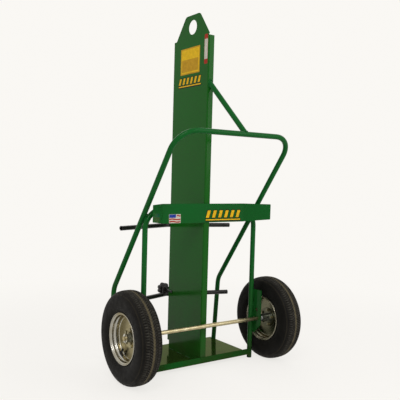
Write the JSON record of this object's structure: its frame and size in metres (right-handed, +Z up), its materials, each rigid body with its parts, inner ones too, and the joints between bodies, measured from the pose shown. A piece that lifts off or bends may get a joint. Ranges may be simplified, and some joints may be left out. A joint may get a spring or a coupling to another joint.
{
  "type": "welding gas cylinder cart",
  "caption": "Two-cylinder oxy acetylene torch cart: sheet-steel firewall with lifting eye on a deck, bent-tube hoop and push handle, pneumatic wheels and swivelling screw clamps.",
  "frame": {"origin": "on the ground, in the middle of the overall box: under the firewall, midway in Y between the push handle's crossbar and the tips of the clamp studs", "axes": "+Z up; +X along the axle, towards the right wheel as seen by an operator at the crossbar looking at the cylinders; +Y from the operator towards the cylinders and clamps"},
  "size_m": [0.889, 0.6344, 1.664],
  "materials": {
    "frame_green": "smooth glossy green powder coat over steel",
    "axle_steel": "bare drawn steel rod",
    "zinc_steel": "zinc plated steel",
    "rim_zinc": "yellow zinc plated pressed steel",
    "bearing_steel": "ground steel",
    "tyre_rubber": "matt black tyre rubber",
    "butyl_rubber": "smooth butyl rubber",
    "black_plastic": "moulded black plastic",
    "black_paint": "satin black paint on steel",
    "brass": "turned brass"
  },
  "bodies": {
    "frame": {"base_plate": "frame_green", "firewall": "frame_green", "push_handle": "frame_green", "rear_hoop": "frame_green", "cylinder_rest": "frame_green", "firewall_brace": "frame_green", "left_axle_bracket": "frame_green", "right_axle_bracket": "frame_green", "axle": "axle_steel", "axle_spacers": "zinc_steel", "axle_washers": "zinc_steel", "cotter_pins": "zinc_steel", "foot_plugs": "black_plastic", "upper_clamp_stud": "black_paint", "lower_clamp_stud": "black_paint", "clamp_stop_nuts": "black_paint"},
    "left_wheel": {"left_tyre": "tyre_rubber", "left_inner_tube": "butyl_rubber", "left_outer_rim": "rim_zinc", "left_inner_rim": "rim_zinc", "left_hub": "rim_zinc", "left_bearings": "bearing_steel", "left_rim_bolts": "zinc_steel", "left_valve_stem": "butyl_rubber"},
    "right_wheel": {"right_tyre": "tyre_rubber", "right_inner_tube": "butyl_rubber", "right_outer_rim": "rim_zinc", "right_inner_rim": "rim_zinc", "right_hub": "rim_zinc", "right_bearings": "bearing_steel", "right_rim_bolts": "zinc_steel", "right_valve_stem": "butyl_rubber"},
    "upper_thrust": {"upper_thrust_washer": "zinc_steel"},
    "upper_bar": {"upper_clamp_bar": "black_paint"},
    "upper_screw_knob": {"upper_knob": "black_plastic", "upper_knob_insert": "brass"},
    "lower_thrust": {"lower_thrust_washer": "zinc_steel"},
    "lower_bar": {"lower_clamp_bar": "black_paint"},
    "lower_screw_knob": {"lower_knob": "black_plastic", "lower_knob_insert": "brass"}
  },
  "joints": [
    {"name": "left_wheel_spin", "type": "hinge", "parent": "frame", "child": "left_wheel", "pos_m": [-0.392, -0.09129, 0.203], "axis": [1, 0, 0], "continuous": true},
    {"name": "right_wheel_spin", "type": "hinge", "parent": "frame", "child": "right_wheel", "pos_m": [0.392, -0.09129, 0.203], "axis": [1, 0, 0], "continuous": true},
    {"name": "upper_clamp_slide", "type": "slide", "parent": "frame", "child": "upper_thrust", "axis": [0, 1, 0], "range_m": [0, 0.03]},
    {"name": "upper_bar_swing", "type": "hinge", "parent": "upper_thrust", "child": "upper_bar", "pos_m": [0, 0.24751, 0.6715], "axis": [0, 1, 0], "range_deg": [-50, 50]},
    {"name": "upper_knob_turn", "type": "hinge", "parent": "upper_thrust", "child": "upper_screw_knob", "pos_m": [0, 0.25821, 0.6715], "axis": [0, 1, 0], "range_deg": [-20, 6192]},
    {"name": "lower_clamp_slide", "type": "slide", "parent": "frame", "child": "lower_thrust", "axis": [0, 1, 0], "range_m": [0, 0.03]},
    {"name": "lower_bar_swing", "type": "hinge", "parent": "lower_thrust", "child": "lower_bar", "pos_m": [0, 0.24751, 0.3165], "axis": [0, 1, 0], "range_deg": [-50, 50]},
    {"name": "lower_knob_turn", "type": "hinge", "parent": "lower_thrust", "child": "lower_screw_knob", "pos_m": [0, 0.25821, 0.3165], "axis": [0, 1, 0], "range_deg": [-20, 6192]}
  ],
  "couplings": [
    {"joint": "upper_knob_turn", "follows": "upper_clamp_slide", "rad_per_m": 3590.4},
    {"joint": "lower_knob_turn", "follows": "lower_clamp_slide", "rad_per_m": 3590.4}
  ]
}
